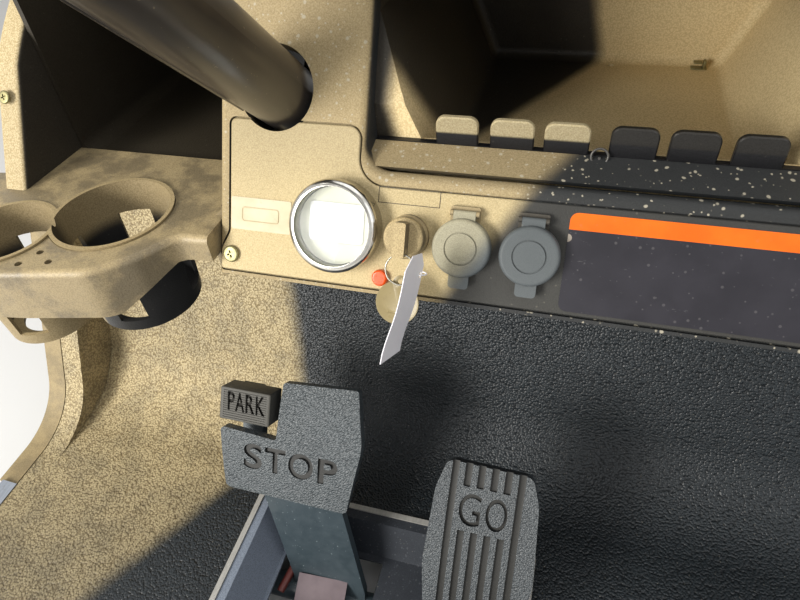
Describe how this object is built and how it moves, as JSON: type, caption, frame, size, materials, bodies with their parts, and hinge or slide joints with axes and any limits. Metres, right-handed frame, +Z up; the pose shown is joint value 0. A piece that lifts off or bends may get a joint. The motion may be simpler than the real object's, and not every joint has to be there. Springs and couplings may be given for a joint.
{
  "type": "golf cart dashboard and pedal module",
  "caption": "Front cockpit module of a golf cart: floor and toe board on frame rails, pedals in a tray, dashboard with bins, cup wells, gauge, key and sockets, and a steering column.",
  "frame": {"origin": "middle of the four chassis bolts, on the underside of the frame rails", "axes": "+X to the vehicle's right, +Y forward, +Z up"},
  "size_m": [1.28, 0.835, 0.9923],
  "materials": {
    "frame_steel": "satin",
    "floor_plastic": "coarse grain",
    "dash_plastic": "fine grain",
    "comb_plastic": "matte",
    "cowl_plastic": "matte",
    "aluminium": "brushed",
    "tray_plastic": "matte",
    "silver_trim": "satin",
    "panel_plastic": "smooth satin",
    "zinc": "satin",
    "black_steel": "semi-gloss",
    "wheel_rubber": "fine grain",
    "arm_steel": "satin",
    "pad_rubber": "leather grain",
    "gauge_black": "white dial",
    "chrome": "polished",
    "lens": "clear",
    "key_black": "satin",
    "fob_white": "plain",
    "socket_black": "satin",
    "cap_grey": "matte",
    "red_lamp": "gloss"
  },
  "bodies": {
    "chassis": {"bin_centre": "dash_plastic", "bin_left": "dash_plastic", "bin_right": "dash_plastic", "chassis_frame": "frame_steel", "column_jacket": "black_steel", "comb_rail": "comb_plastic", "cowl_edge_left": "cowl_plastic", "cowl_edge_right": "cowl_plastic", "cup_well_left": "dash_plastic", "cup_well_right": "dash_plastic", "dash_deck": "dash_plastic", "dash_shell": "dash_plastic", "dash_support": "frame_steel", "floor_pan": "floor_plastic", "gauge_bezel": "chrome", "gauge_case": "gauge_black", "gauge_lens": "lens", "indicator_lamp": "red_lamp", "instrument_panel": "panel_plastic", "key_switch": "zinc", "pedal_bracket": "frame_steel", "pedal_tray": "tray_plastic", "pivot_shaft": "zinc", "pod_left": "dash_plastic", "pod_right": "dash_plastic", "side_panel_left": "dash_plastic", "side_panel_right": "dash_plastic", "sill_left": "aluminium", "sill_right": "aluminium", "socket_left": "socket_black", "socket_right": "socket_black", "tray_trim": "silver_trim"},
    "steering": {"steering_shaft": "zinc", "steering_wheel": "wheel_rubber", "wheel_hub": "wheel_rubber"},
    "brake": {"brake_arm": "arm_steel", "brake_pad": "pad_rubber"},
    "park": {"park_arm": "arm_steel", "park_pad": "pad_rubber"},
    "accelerator": {"accel_arm": "arm_steel", "accel_pad": "pad_rubber"},
    "key_body": {"key": "key_black"},
    "fob_body": {"key_fob": "fob_white"},
    "cap_left_body": {"socket_cap_left": "cap_grey"},
    "cap_right_body": {"socket_cap_right": "cap_grey"}
  },
  "joints": [
    {"name": "steering_turn", "type": "hinge", "parent": "chassis", "child": "steering", "pos_m": [-0.209, 0.2095, 0.566], "axis": [0, -0.7373, 0.6756], "range_deg": [-450, 450]},
    {"name": "brake_press", "type": "hinge", "parent": "chassis", "child": "brake", "pos_m": [-0.228, 0.088, 0.026], "axis": [-1, 0, 0], "range_deg": [0, 18], "stiffness_Nm_per_rad": 25, "springref_deg": -20.05},
    {"name": "park_press", "type": "hinge", "parent": "brake", "child": "park", "pos_m": [-0.3, 0.165, 0.165], "axis": [-1, 0, 0], "range_deg": [0, 8], "stiffness_Nm_per_rad": 5, "springref_deg": -20.05},
    {"name": "accelerator_press", "type": "hinge", "parent": "chassis", "child": "accelerator", "pos_m": [-0.0467, 0.088, 0.026], "axis": [-1, 0, 0], "range_deg": [0, 20], "stiffness_Nm_per_rad": 8, "springref_deg": -20.05},
    {"name": "key_turn", "type": "hinge", "parent": "chassis", "child": "key_body", "pos_m": [-0.111, 0.166, 0.49027], "axis": [0, 0.866, -0.5], "range_deg": [0, 60]},
    {"name": "fob_swing", "type": "hinge", "parent": "key_body", "child": "fob_body", "pos_m": [-0.111, 0.13893, 0.48338], "axis": [0, -0.866, 0.5], "range_deg": [-60, 60]},
    {"name": "cap_left_open", "type": "hinge", "parent": "chassis", "child": "cap_left_body", "pos_m": [-0.0745, 0.17076, 0.50911], "axis": [-1, 0, 0], "range_deg": [0, 110]},
    {"name": "cap_right_open", "type": "hinge", "parent": "chassis", "child": "cap_right_body", "pos_m": [-0.032, 0.17076, 0.50911], "axis": [-1, 0, 0], "range_deg": [0, 110]}
  ]
}
